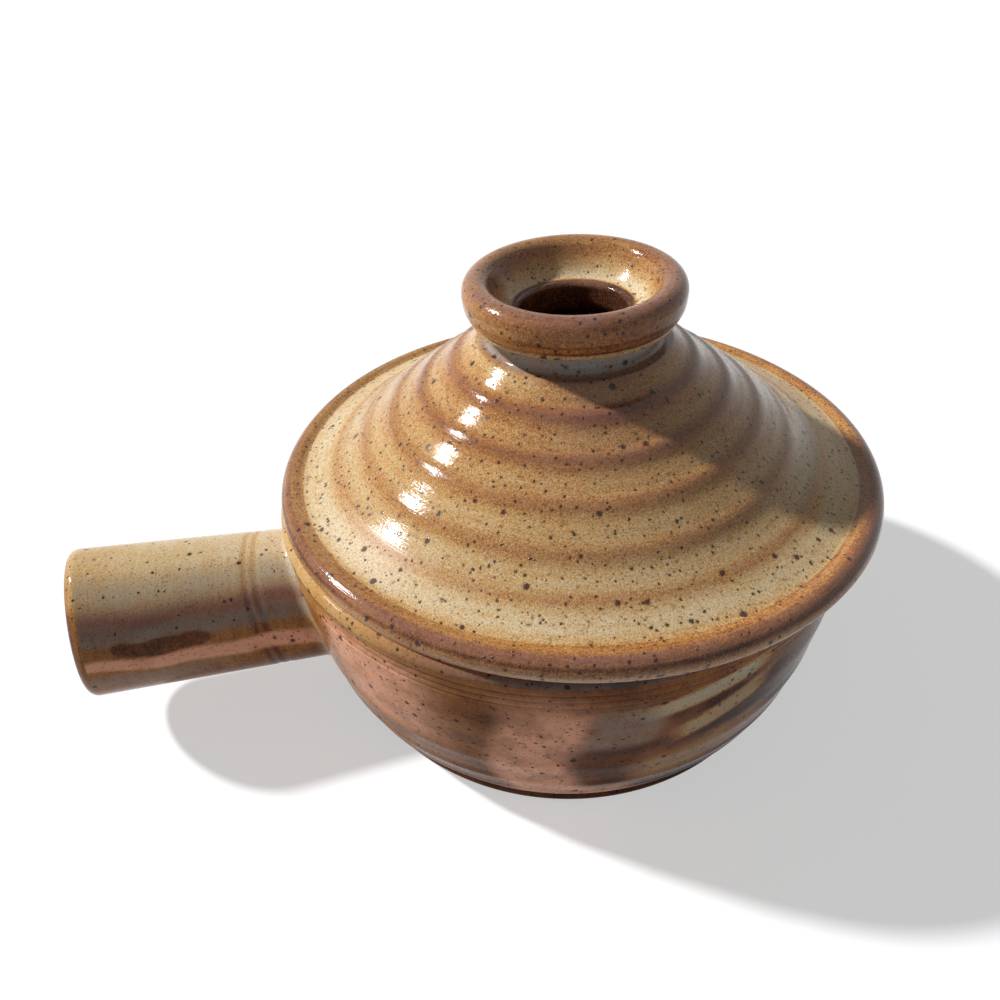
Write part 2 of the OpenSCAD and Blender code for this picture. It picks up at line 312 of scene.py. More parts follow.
def piece_from_rows(name, rows, marks, closed):
    """A smooth mesh from rows of points in millimetres, with its glaze marks as attributes."""
    count, around = rows.shape[:2]
    keep = np.ones((count, around), bool)
    keep[np.ptp(rows, axis=1).max(1) < SAME_PLACE, 1:] = False  # a row on the axis is one point
    index = np.cumsum(keep.ravel()).reshape(count, around) - 1
    places = rows[keep] / 1000
    first = np.arange(count if closed else count - 1)
    after = (first + 1) % count
    side = (np.arange(around) + 1) % around
    quads = np.stack([index[first], index[after], index[after][:, side], index[first][:, side]], -1)
    quads = quads.reshape(-1, 4)
    a, b, c, d = (places[quads[:, corner]] for corner in range(4))
    if (a * (np.cross(b, c) + np.cross(c, d))).sum() < 0:
        quads = quads[:, ::-1]  # the faces look outwards
    faces = [tuple(dict.fromkeys(q)) for q in quads.tolist()]
    mesh = bpy.data.meshes.new(name)
    mesh.from_pydata(places.tolist(), [], [f for f in faces if len(f) > 2])
    mesh.polygons.foreach_set("use_smooth", [True] * len(mesh.polygons))
    for mark, values in marks.items():
        values = np.asarray(values, np.float32)
        kind, field, parts = ("FLOAT_VECTOR", "vector", (3,)) if values.ndim == 3 else ("FLOAT", "value", ())
        full = np.broadcast_to(values, (count, around) + parts)
        mesh.attributes.new(mark, kind, "POINT").data.foreach_set(field, full[keep].ravel())
    mesh.update()
    piece = bpy.data.objects.new(name, mesh)
    bpy.context.scene.collection.objects.link(piece)
    return piece


def revolve(shape, turn):
    """Rows of points for an outline turned about the upright axis."""
    r, z = shape.columns()
    return np.stack([r * np.cos(turn), r * np.sin(turn), z + 0 * turn], -1)


def swirl(run, turn):
    """Where each point is on the wheel: a seamless way to draw marks that run round the form."""
    run = run + 0 * turn
    return np.stack([np.cos(turn) + 0 * run, np.sin(turn) + 0 * run, run], -1)


# The marks say how the glaze lies at each point, from 0 to 1, and where light and shade are painted in.
# "cover" is its thickness, from scorched over rust and tan to pale cream, and carries some painted
# shade and highlights; "bare" is unglazed clay; the salmon mark holds painted warm reflections and a
# painted highlight; "cool" grey blue is pooled glaze, painted shade and painted reflections; "edge"
# purple brown is iron on edges and a painted reflection on the cone; "satin" is a duller surface.
# "swirl" is the place on the wheel.

# The bowl

def lines_zone(s):
    """Height of the zone of fine lines under the rim."""
    return s.line_pitch * (s.lines + 0.5)


def wall_curve(s, ringed=True):
    """Outside of the bowl's wall from the foot up to the fine lines."""
    zone = lines_zone(s)
    low = np.array([s.foot_radius - s.foot_tuck, s.foot_height])
    top = np.array([s.rim_radius - zone * math.tan(s.lean), s.height - s.rim_round - zone])
    pull = low + s.fullness * np.array([math.cos(s.leave_angle), math.sin(s.leave_angle)])
    push = top - (top[1] - pull[1]) * s.straightness * np.array([math.tan(s.lean), 1])
    curve = bend(low, pull, push, top, steps=160)
    t = np.linspace(0, 1, len(curve))
    if ringed:
        curve[:, 0] += np.sin(math.pi * t) * s.ring_depth * ring(t * (s.rings + 0.5))
    return curve


def bowl_outline(s):
    """Outline of the bowl from the middle of its foot, up the outside and down the inside."""
    shape = Outline()
    half = s.foot_height / 2
    shape.add("foot", [[0, 0], [s.foot_radius - half, 0]], 6)
    shape.add("bead", arc((s.foot_radius - half, half), half, -90, 60), 0.4)
    shape.add("wall", wall_curve(s), 0.45)
    shoulder = s.height - s.rim_round
    z = np.linspace(shoulder - lines_zone(s), shoulder, 40)
    shape.add("lines", np.stack([s.rim_radius - (shoulder - z) * math.tan(s.lean), z], 1), 0.2)
    shape.add("rim", arc((s.rim_radius - s.rim_round, shoulder), s.rim_round, 0, 90), 0.3)
    inside, turn_in = s.rim_radius - s.wall, s.height - s.inner_round
    shape.add("seat", [[s.rim_radius - s.rim_round, s.height], [inside + s.inner_round, s.height]], 0.6)
    shape.add("inner", arc((inside + s.inner_round, turn_in), s.inner_round, 90, 180), 0.4)
    low = np.array([inside - (turn_in - s.floor - s.cove) * math.tan(s.lean), s.floor + s.cove])
    shape.add("inner", [[inside, turn_in], low], 1.5)
    pull = 0.55 * s.cove
    flat = [low[0] - s.cove * 1.2, s.floor]
    shape.add("inner", bend(low, low - pull * np.array([math.tan(s.lean), 1]),
                            [low[0] - s.cove + pull * 0.6, s.floor], flat), 1.3)
    shape.add("inner", [flat, [0, s.floor]], 4)
    return shape


def fine_lines(s, shape, turn):
    """The fine lines under the rim, from 0 to 1: clear by the handle, and rubbed down elsewhere."""
    z = shape.points[:, 1:2]
    base = s.height - s.rim_round - lines_zone(s)
    groove = np.maximum(0, -np.cos(FULL_TURN * (z - base) / s.line_pitch)) ** 1.5
    groove = groove * (z < base + s.line_pitch * s.lines) * shape.is_in("lines")
    return groove * (0.2 + 0.8 * bump(turned_from(turn, math.pi), 0.1, 1.5))


def bowl_rows(s, shape, turn):
    """Rows of points for the bowl, with the fine lines cut in."""
    rows = revolve(shape, turn)
    inward = 1 - s.line_depth * fine_lines(s, shape, turn) / np.maximum(shape.points[:, 0:1], 1)
    rows[..., :2] *= inward[..., None]
    return rows


def bowl_marks(s, shape, turn):
    """How thick the glaze lies on the bowl, where it pools and where the clay is bare, with painted
    reflections, painted shade and painted highlights.
    """
    z = shape.points[:, 1:2]
    t = np.clip((z - s.foot_height) / (s.height - s.foot_height), 0, 1)
    by_handle = bump(turned_from(turn, math.pi), 0.2, 1.3)
    ahead = turned_from(turn, FRONT)
    # The wall is darker on its right side: painted shade.
    painted_right_shade = smooth(ahead, 0.2, 0.7) * (1 - smooth(ahead, 1.9, 2.6))
    lobes = 0.03 * np.sin(9 * t + 1)
    outside = shape.is_in("wall", "lines")

    def patch(across, half_width, up, half_height):
        """A patch placed by its turn from the front and its share of the wall's height."""
        return self_edged(ahead, across, half_width) * self_edged(t, up, half_height)

    pale = patch(0.46, 0.20, 0.81 + 0.25 * (ahead - 0.45), 0.05)
    pale = pale + 0.8 * patch(0.52, 0.17, 0.64 + 0.5 * (ahead - 0.5), 0.07)
    olive = patch(0.50, 0.28, 0.36 + 0.2 * (ahead - 0.5), 0.14)
    grey = patch(0.19 + lobes, 0.12, 0.70 - lobes, 0.17) + 0.5 * patch(0.92, 0.2, 0.70, 0.2)
    # The salmon patches are painted warm reflections on the wall.
    painted_warm_reflection = np.maximum(patch(-0.05 + lobes, 0.15, 0.42, 0.5), patch(0.05, 0.26, 0.08, 0.13))
    painted_warm_reflection = painted_warm_reflection + (0.4 + 0.6 * smooth(-ahead, 0.28, 0.5)) * patch(-0.54 - lobes, 0.26, 0.67, 0.27)

    wall = 0.07 + 0.08 * t - 0.05 * ring(t * (s.rings + 0.5)) + 0.26 * by_handle - 0.05 * painted_right_shade
    wall = wall + waver(turn, (1, 0.03, 0.4), (3, 0.03, 1.9))
    # A pale line just above the foot's bead: a painted highlight.
    wall = wall + 0.22 * bump(z, s.foot_height + 0.6, 0.7)
    # By the handle the rim and the lines under it are pale, a painted highlight; elsewhere they are dark,
    # painted shade under the lid's edge.
    lines = 0.20 + 0.26 * by_handle - 0.20 * fine_lines(s, shape, turn)
    cover = 0.55
    for zone, amount in (("wall", wall), ("lines", lines), ("bead", 0.16), ("rim", 0.04 + 0.64 * by_handle)):
        cover = np.where(shape.is_in(zone), amount, cover)
    # Grey blue on the rim away from the handle is painted shade under the lid's edge.
    cool = np.where(outside, 0.5 * grey + 0.34 * pale + 0.18 * olive,
                    0.4 * shape.is_in("rim") * (1 - by_handle))
    return {"cover": cover + outside * (0.76 * pale + 0.36 * olive + 0.2 * grey),
            "bare": shape.is_in("foot", "seat"),
            "painted_warm_reflection": outside * painted_warm_reflection, "cool": cool, "edge": 0.2 * shape.is_in("bead"), "satin": 0.0,
            "swirl": swirl(distances(shape.points)[:, None], turn)}


# The handle

def handle_frame(h):
    """Start, along, up and side of the handle's axis."""
    along = np.array([-math.cos(h.tilt), 0, math.sin(h.tilt)])
    up = np.array([math.sin(h.tilt), 0, math.cos(h.tilt)])
    return np.array([0, 0, h.axis_height]), along, up, np.array([0.0, 1.0, 0.0])


def finger_rings(h, s, reach, turn):
    """The soft finger rings beside the joint, from 0 to 1: they follow the bowl's curve underneath."""
    middle = s.rim_radius + h.ring_gap - 3.5 * (1 - np.cos(turn + 0.25))
    return sum(bump(reach, middle + n * h.ring_pitch, h.ring_pitch * 0.6) for n in (0, 1))


def handle_rows(h, s):
    """Rows of points for the handle, from the bowl out to the open end and back up the bore.

    Also the reach of each point, the turns, and the rows where the rounded end starts and stops."""
    joint_rows, tube_rows, end_rows, mouth_rows, bore_rows = 13, 124, 12, 9, 34
    nearest, farthest, halvings = 45.0, 100.0, 30  # the joint is searched for between these reaches
    trim = 0.06  # keeps the open end inside the solids' box
    start, along, up, side = handle_frame(h)
    turn = once_round(HANDLE_AROUND)
    out = up * np.cos(turn)[..., None] + side * np.sin(turn)[..., None]
    wall = wall_curve(s, ringed=False)
    rows, reaches = [], []

    def radius(reach):
        share_out = (reach - s.rim_radius) / (h.reach - s.rim_radius)
        plain = h.root_radius + (h.end_radius - h.root_radius) * share_out
        return plain - h.ring_depth * finger_rings(h, s, reach, turn)

    def place(reach, r):
        return start + along * reach[..., None] + out * r[..., None]

    def add(reach, r):
        rows.append(place(reach, r))
        reaches.append(reach)

    def off_wall(points):
        """How far points stand off the bowl's wall."""
        flat, below, above = (np.interp(points[..., 2] + rise, wall[:, 1], wall[:, 0]) for rise in (0, -1, 1))
        return (np.hypot(points[..., 0], points[..., 1]) - flat) / np.sqrt(1 + ((above - below) / 2) ** 2)

    def cut(r):
        """Reach of the slanting cut at a radius."""
        return h.reach - (tip[0] * r * np.cos(turn) + tip[1] * r * np.sin(turn)) / tip[2]

    for lean in np.radians(np.linspace(90, 0, joint_rows)):
        gap, flare = h.fillet * (1 - math.sin(lean)), h.fillet * (1 - math.cos(lean))
        low, high = np.full_like(turn, nearest), np.full_like(turn, farthest)
        for _ in range(halvings):
            middle = (low + high) / 2
            near = off_wall(place(middle, radius(middle) + flare)) < gap
            low, high = np.where(near, middle, low), np.where(near, high, middle)
        if not rows:
            add(low - 0.4, radius(low) + flare + 0.3)  # a skirt inside the bowl's wall
        add(low, radius(low) + flare)
    first = reaches[-1]
    tip = np.array([math.cos(h.end_turn) * math.sin(h.end_lift), -math.sin(h.end_turn),
                    math.cos(h.end_turn) * math.cos(h.end_lift)])
    last = cut(h.end_radius) - h.end_round
    for u in np.linspace(0, 1, tube_rows)[1:]:
        reach = first + (last - first) * u
        add(reach, radius(reach))
    tube = len(rows)
    for lean in np.radians(np.linspace(0, 90, end_rows)[1:]):
        r = radius(last) - h.end_round * (1 - math.cos(lean))
        add(cut(r) - h.end_round * (1 - math.sin(lean)) - trim, r)
    for lean in np.radians(np.linspace(0, 90, mouth_rows)):
        r = np.full_like(turn, h.end_radius - h.wall + h.mouth_round * (1 - math.sin(lean)))
        add(cut(r) - h.mouth_round * (1 - math.cos(lean)) - trim, r)
    end = len(rows)
    deep = reaches[-1]
    for u in np.linspace(0, 1, bore_rows)[1:]:
        reach = deep + (h.bore_end - deep) * u
        add(reach, radius(np.maximum(reach, s.rim_radius)) - h.wall)
    return np.concatenate(rows), np.concatenate(reaches), turn, tube, end


def handle_marks(h, s, reach, turn, tube, end):
    """How the glaze lies on the handle: pale on top and brown down the sides, which is painted shade, grey
    and salmon bands, which are painted reflections, and rust at the cut end.
    """
    row = np.arange(len(reach))[:, None]
    outside, rim, inside = row < tube, (row >= tube) & (row < end), row >= end
    far = np.clip((reach - s.rim_radius) / (h.reach - s.rim_radius), 0, 1)
    to_front = -turned_from(turn) + 0.03 * np.sin(7 * far + 0.5) + 0.02 * np.sin(17 * far)
    on_top = 1 - smooth(np.abs(to_front), 0.4, 0.8)
    rounding = (row - tube) / (end - tube)
    patch = np.hypot((far - 0.58) / 0.24, (to_front - 1.25) / 0.14)
    patch = (1 - smooth(patch + 0.08 * np.sin(40 * far), 0.8, 1.0)) * outside

    # Pale on top and darker down the front and the underside: painted shade.
    cover = 0.84 - 0.10 * smooth(to_front, 0.1, 0.4) - 0.38 * smooth(to_front, 0.52, 0.86)
    cover = cover - 0.58 * smooth(-to_front, 1.1, 2.3) - 0.10 * smooth(to_front, 1.6, 2.0)
    cover = cover + on_top * (0.09 * (1 - smooth(far, 0.1, 0.5)) - 0.10 * bump(far, 0.88, 0.25))
    cover = cover - 0.14 * smooth(far, 0.965, 1.0) - 0.20 * finger_rings(h, s, reach, turn)
    cover = cover + 0.25 * (1 - smooth(row, 4, 15)) - 0.22 * patch
    cover = cover - 0.36 * rim * smooth(rounding, 0.05, 0.35)
    # The grey blue bands along the sides are painted reflections.
    cool = 0.42 * smooth(to_front, 0.12, 0.5) * (1 - smooth(to_front, 0.8, 0.95))
    cool = cool + 0.62 * self_edged(to_front, 1.06, 0.17)
    cool = cool + 0.45 * self_edged(to_front, 1.76, 0.14) * smooth(far, 0.2, 0.6)
    # The salmon streak low on the front is a painted warm reflection.
    painted_warm_reflection = 1.2 * self_edged(to_front, 1.47 + 0.05 * (1 - far), 0.08 + 0.08 * (1 - far))
    edge = 0.9 * bump(to_front, 0.84 + 0.05 * far, 0.16) * outside + 0.3 * rim * smooth(rounding, 0.1, 0.4)
    return {"cover": np.where(inside, 0.30 - 0.1 * (1 - far), cover), "bare": 0.0,
            "painted_warm_reflection": painted_warm_reflection * outside, "cool": cool * outside * (1 - patch), "edge": edge, "satin": 0.0,
            "swirl": swirl(reach, turn)}


# The lid

def lid_outline(s):
    """Outline of the lid from the vent's edge over the knob, down the cone and back up inside."""
    shape = Outline()
    vent, lip = s.vent_radius, s.vent_round
    shape.add("throat", arc((vent + lip, s.vent_height - lip), lip, 180, 90), 0.3)
    roll, roll_start = np.array([s.roll_radius, s.roll_height]), 150
    start = math.radians(roll_start)
    top = roll + s.roll_half * np.array([math.cos(start), math.sin(start)])
    lead = (top[1] - s.vent_height) * 0.87 * np.array([math.sin(start), -math.cos(start)])
    shape.add("dish", bend([vent + lip, s.vent_height], [vent + lip * 2.5, s.vent_height],
                           top - lead, top), 0.35)
    shape.add("roll", arc(roll, s.roll_half, roll_start, 0, 40), 0.35)
    high = roll + np.array([s.roll_half, 0])
    low = np.array([s.face_radius, s.face_height])
    shape.add("face", bend(high, high - [0, (s.roll_height - s.face_height) * 0.55],
                           low + np.array([0.9, 1.6]) * s.step / 1.5, low), 0.35)
    half = s.step / 2
    shape.add("step", [low, low + [-half * 0.8, -half * 0.4]], 0.25)
    shape.add("step", arc(low + np.array([-half * 1.4, -half * 1.3]), half, 40, -90), 0.25)
    neck = s.neck_radius
    shape.add("neck", bend([neck + 0.8, low[1] - s.step * 1.2], [neck, low[1] - s.step * 1.4],
                           [neck, low[1] - s.step * 2]), 0.3)
    shape.add("neck", bend([neck, s.cone_height + 1.2], [neck, s.cone_height - 0.3],
                           [neck + 1.2, s.cone_height - 0.3]), 0.3)
    cone = cone_line(s)
    shape.add("cone", cone, 0.45)
    crest = np.array([s.radius - s.edge_width / 2, s.edge_height])
    side = np.array([s.radius, s.edge_height * 0.35])
    pull = np.array([s.edge_width * 0.22, 0])
    shape.add("edge", bend(cone[-1], cone[-1] + pull, crest - pull, crest), 0.3)
    shape.add("side", bend(crest, crest + [s.edge_width * 0.24, 0],
                           side + [0, s.edge_height * 0.35], side), 0.3)
    toe = (s.radius - s.edge_lean - s.toe_round, s.toe_round)
    shape.add("toe", arc(toe, s.toe_round, 0, -90), 0.25)
    inner = s.flange_radius - s.flange_wall
    shape.add("seat", [[toe[0], 0], [s.flange_radius, 0]], 1.5)
    shape.add("seat", arc((s.flange_radius - 1, 1 - s.flange_depth), 1, 0, -90, 6), 0.8)
    shape.add("seat", arc((inner + 1, 1 - s.flange_depth), 1, -90, -180, 6), 0.8)
    leg = np.diff(cone, axis=0)
    under = cone[:-1] + s.wall * np.stack([leg[:, 1], -leg[:, 0]], 1) / np.hypot(*leg.T)[:, None]
    under = under[under[:, 0] < inner - 4][::-1]
    lift = math.tan(s.cone_slope)
    shape.add("under", bend([inner, -s.flange_depth / 3],
                            [inner, under[0][1] - (inner - under[0][0]) * lift * 0.8], under[0]), 1.2)
    shape.add("under", under, 1.6)
    mouth = np.array([vent + 3, under[-1][1] + (under[-1][0] - vent - 3) * lift])
    throat = [vent, mouth[1] + 4.6]
    shape.add("under", bend(mouth, mouth + [-3, 3 * lift], throat), 0.8)
    shape.add("throat", [throat, [vent, s.vent_height - lip - 0.3]], 0.8)
    return shape


def cone_line(s):
    """The cone from the neck out to the dip inside the edge, before its rings."""
    top = np.array([s.cone_radius, s.cone_height])
    brim = np.array([s.radius - s.edge_width, s.edge_height - s.dip])
    m, n = math.tan(s.cone_slope), math.tan(s.brim_slope)
    r = (top[1] - brim[1] + m * top[0] - n * brim[0]) / (m - n)
    return bend(top, [r, brim[1] + n * (brim[0] - r)], brim, steps=160)


def lid_turns(s, r, turn):
    """Which throwing ring a point on the cone is on: the rings waver a little round the lid."""
    return (r - s.ring_radius) / s.ring_pitch + waver(turn, (1, 0.045, 0.7), (2, 0.03, 2.1), (5, 0.012, 0.3))


def lid_rows(s, shape, turn):
    """Rows of points for the lid, with its rings, its wavering edge and its leaning knob."""
    r, z = shape.columns()
    rows = revolve(shape, turn)
    first = s.ring_radius - s.ring_pitch * 0.75
    last = s.ring_radius + s.ring_pitch * (s.rings - 0.25)
    fade = np.clip((r - first) / s.ring_pitch * 2, 0, 1) * np.clip((last - r) / (last - first), 0, 1) ** 0.6
    fade = fade * (1 - 0.6 * smooth(r, s.radius - 22, s.radius - 14))
    rings = s.ring_height * fade * ring(lid_turns(s, r, turn))
    rings = rings * (1 + waver(turn, (1, 0.1, 1.0), (3, 0.1, 0.2)))
    rows[..., 2] += np.where(shape.is_in("cone"), rings - s.brim_ease * bump(r, s.radius - 19, 12.5), 0)
    brim = smooth(r, 50, 78) * shape.is_in("cone", "edge", "side", "toe")
    shrink = 1 - brim * s.unevenness / s.radius * (1 + waver(turn, (2, 0.5, 0.4), (3, 0.35, 2.2)))
    rows[..., :2] *= shrink[..., None]
    rows[..., 2] -= brim * s.unevenness * (1 + waver(turn, (2, 0.6, 1.1), (5, 0.3, 0.5))) * 0.7
    knob = smooth(r, 15.5, 22) * smooth(z, 42.5, 49) * shape.is_in("dish", "roll", "face")
    in_front = 0.5 + 0.5 * np.cos(turn - math.radians(-100))
    rows[..., 2] -= knob * (s.knob_sink * in_front + 0.03)
    return rows


def lid_marks(s, shape, turn):
    """How thick the glaze lies on the lid: thin and rusty on the rings, the knob and the edge, with painted
    light and shade in places.
    """
    r, z = shape.columns()
    is_cone = shape.is_in("cone")
    down = np.clip((r - s.cone_radius) / (s.radius - s.cone_radius), 0, 1)
    turns = lid_turns(s, r, turn)
    crest = 0.5 * (0.5 + 0.5 * ring(turns)) ** 1.4 + 0.5 * (0.5 + 0.5 * np.cos(FULL_TURN * turns))
    crest = crest * (1 - smooth(r, s.radius - 12, s.radius - 9))
    ahead = turned_from(turn, FRONT)
    to_right = np.sin(ahead)
    rubbed = smooth(ahead, 0.4, 1.1) * (1 - smooth(ahead, 2.0, 2.6))
    far_left = smooth(-ahead, 0.5, 1.2) * (1 - smooth(-ahead, 2.3, 2.9))

    cone = 0.52 + 0.26 * smooth(down, 0.1, 0.8) - crest * (0.30 - 0.08 * down)
    cone = cone + 0.08 * bump(r, s.radius - 11, 5)
    # Paler near the neck on the left: painted light.
    cone = cone + 0.24 * bump(r, s.cone_radius + 0.5, 3) * smooth(-to_right, 0, 0.6)
    cone = cone - (0.36 - 0.08 * far_left) * smooth(r, s.radius - 9.6 + 3 * rubbed + 3 * far_left,
                                                    s.radius - 4.0 + 0.8 * rubbed)
    rim = 0.38 + 0.08 * far_left - (0.12 + 0.16 * rubbed) * smooth(r, s.radius - 4.4, s.radius - 1.5)
    # The dish is paler to the right: painted light.
    dish = 0.06 + 0.86 * smooth(r, s.vent_radius + 1.5, s.vent_radius + 2.8) + 0.05 * to_right
    dish = dish - 0.54 * smooth(r, s.vent_radius + 3.2, s.roll_radius - 3.4)
    # The knob's face is darker to the right: painted shade.
    face = 0.27 + 0.05 * smooth(z, 45.4, 46.4) - 0.22 * bump(z, 45.0, 0.5)
    face = face - 0.14 * bump(z, 48.0, 0.8) - 0.17 * to_right
    low_side = 1 - smooth(z, 2.0, 3.6)
    # The dark line under the crest on the edge's side is a painted shadow; the roll darker to the right and
    # the underside darker near the vent are painted shade.
    cover = sum(np.where(shape.is_in(zone), amount, 0) for zone, amount in (
        ("cone", cone), ("edge", rim), ("side", 0.29 + 0.18 * low_side - 0.22 * bump(z, 4.0, 0.7)),
        ("toe", 0.36), ("throat", 0.0), ("dish", dish),
        ("roll", 0.35 - 0.07 * to_right - 0.06 * np.cos(ahead)), ("face", face), ("step", 0.58),
        ("neck", 0.40), ("under", 0.04 + 0.54 * smooth(r, s.vent_radius + 4, s.vent_radius + 14)),
        ("seat", 0.5)))

    edge = 0.80 * shape.is_in("edge", "side") * bump(r, s.radius - 2.0, 2.0) * smooth(z, 3.2, 4.8)
    edge = edge * (1 - 0.6 * far_left)
    roll = shape.is_in("roll") * self_edged(r, s.roll_radius + 0.2, 3.0) * smooth(z, s.roll_height, 52.5)
    roll = roll + 0.7 * shape.is_in("dish") * smooth(r, s.roll_radius - 6.0, s.roll_radius - 3)
    edge = edge + roll * (0.64 + 0.36 * np.cos(ahead + 0.6))
    purple = crest * (0.08 + 0.30 * bump(ahead, 0.3, 1.4))
    # Purple brown high on the front of the cone is a painted reflection.
    purple = purple + 0.46 * (1 - smooth(down, 0.1, 0.45)) * bump(ahead, 0.2, 0.8)
    cool = 0.9 * shape.is_in("neck") * smooth(z, 36, 38) + 0.34 * shape.is_in("side") * low_side
    cool = cool + 0.8 * is_cone * bump(r, s.cone_radius - 1, 2.4) * smooth(to_right, -0.6, 0.1)
    satin = smooth(r, s.radius - 18, s.radius - 15) * (1 - smooth(r, s.radius - 8, s.radius - 6))
    # The salmon on the toe and low on the side is a painted highlight.
    return {"cover": cover, "bare": shape.is_in("seat"),
            "painted_warm_reflection": 0.5 * shape.is_in("toe", "side") * (1 - smooth(z, 0.8, 1.6)),
            "cool": cool, "edge": edge + is_cone * purple, "satin": is_cone * satin,
            "swirl": swirl(distances(shape.points)[:, None], turn)}


# Glaze

class Recipe:
    """Adds shader nodes to a new material or world, one after the other, and joins them up."""

    def __init__(self, made):
        self.made = made
        made.use_nodes = True
        self.nodes, self.links = made.node_tree.nodes, made.node_tree.links
        self.nodes.clear()

    def node(self, kind, **settings):
        made = self.nodes.new("ShaderNode" + kind)
        for key, value in settings.items():
            setattr(made, key, value)
        return made

    def feed(self, socket, value):
        """Joins another node's output to a socket, or sets the socket's own value."""
        if isinstance(value, bpy.types.NodeSocket):
            self.links.new(value, socket)
        elif value is not None:
            socket.default_value = value

    def mark(self, name):
        """One of the piece's marks."""
        return self.node("Attribute", attribute_name=name).outputs["Fac"]

    def shown(self):
        """1 for rays that show the background itself, 0 for rays that gather its light."""
        rays = self.node("LightPath")
        straight = self.sums("MAXIMUM", rays.outputs["Is Camera Ray"], rays.outputs["Is Glossy Ray"])
        return self.sums("MAXIMUM", straight, rays.outputs["Is Transmission Ray"])

    def sums(self, operation, a, b=None, c=None, clamp=False):
        """One step of arithmetic on up to three values."""
        made = self.node("Math", operation=operation, use_clamp=clamp)
        for socket, value in zip(made.inputs, (a, b, c)):
            self.feed(socket, value)
        return made.outputs[0]

    def vectors(self, operation, *values):
        """One step of arithmetic on vectors."""
        made = self.node("VectorMath", operation=operation)
        for socket, value in zip(made.inputs, values):
            self.feed(socket, value)
        return made.outputs[0]

    def cloud(self, vector, scale, detail=3.0, rough=0.55, output=0):
        """Soft noise."""
        made = self.node("TexNoise")
        for key, value in (("Vector", vector), ("Scale", scale), ("Detail", detail), ("Roughness", rough)):
            self.feed(made.inputs[key], value)
        return made.outputs[output]

    def rise(self, value, low, high, start=0.0, end=1.0):
        """From start to end while the value goes from low to high."""
        made = self.node("MapRange", interpolation_type="SMOOTHSTEP")
        for socket, item in zip(made.inputs, (value, low, high, start, end)):
            self.feed(socket, item)
        return made.outputs[0]

    def blend(self, amount, a, b):
        """Colour a, with an amount of colour b over it."""
        made = self.node("Mix", data_type="RGBA")
        self.feed(made.inputs[0], amount)
        for socket, item in ((made.inputs[6], a), (made.inputs[7], b)):
            self.feed(socket, item if isinstance(item, bpy.types.NodeSocket) else (*item, 1.0))
        return made.outputs[2]

    def ramp(self, value, stops):
        """A colour for each value, through (value, colour) stops."""
        made = self.node("ValToRGB")
        while len(made.color_ramp.elements) < len(stops):
            made.color_ramp.elements.new(0.5)
        for element, (place, tint) in zip(made.color_ramp.elements, stops):
            element.position, element.color = place, (*tint, 1.0)
        self.feed(made.inputs[0], value)
        return made.outputs[0]

    def spots(self, vector, spacing, radius, share_kept):
        """Round specks, and how near each place is to one. Spacing and radius are in millimetres."""
        cells = self.node("TexVoronoi", feature="F1")
        self.feed(cells.inputs["Vector"], vector)
        self.feed(cells.inputs["Scale"], 1.0 / spacing)
        chance = self.node("SeparateColor")
        self.feed(chance.inputs[0], cells.outputs["Color"])
        size = self.sums("MULTIPLY_ADD", chance.outputs[0], 0.65, 0.5)
        size = self.sums("MULTIPLY", size, radius / spacing)
        size = self.sums("MULTIPLY", size, self.sums("LESS_THAN", chance.outputs[1], share_kept))
        near = self.sums("DIVIDE", cells.outputs["Distance"], self.sums("MAXIMUM", size, 0.0001))
        return self.rise(near, 0.72, 1.1, 1.0, 0.0), near


def glaze_noises(r, seed):
    """The noises that a glaze is drawn from: over the form in millimetres, and round the wheel."""
    place = r.node("TexCoord").outputs["Object"]
    here = r.vectors("MULTIPLY_ADD", place, (1000, 1000, 1000), (seed, seed * 1.7, 0))
    wheel = r.node("Attribute", attribute_name="swirl").outputs["Vector"]
    return SimpleNamespace(
        here=here,
        drift=r.cloud(here, 0.035),
        patch=r.cloud(here, 0.16, 4.0, 0.6),
        fleck=r.cloud(here, 1.1, 3.0, 0.65),
        grain=r.cloud(here, 3.0, 1.0, 0.5),
        streak=r.cloud(r.vectors("MULTIPLY", wheel, (2.2, 2.2, 0.75)), 1.0, 4.0, 0.6),
        fine_streak=r.cloud(r.vectors("MULTIPLY", wheel, (5.0, 5.0, 2.6)), 1.0, 3.0, 0.6))


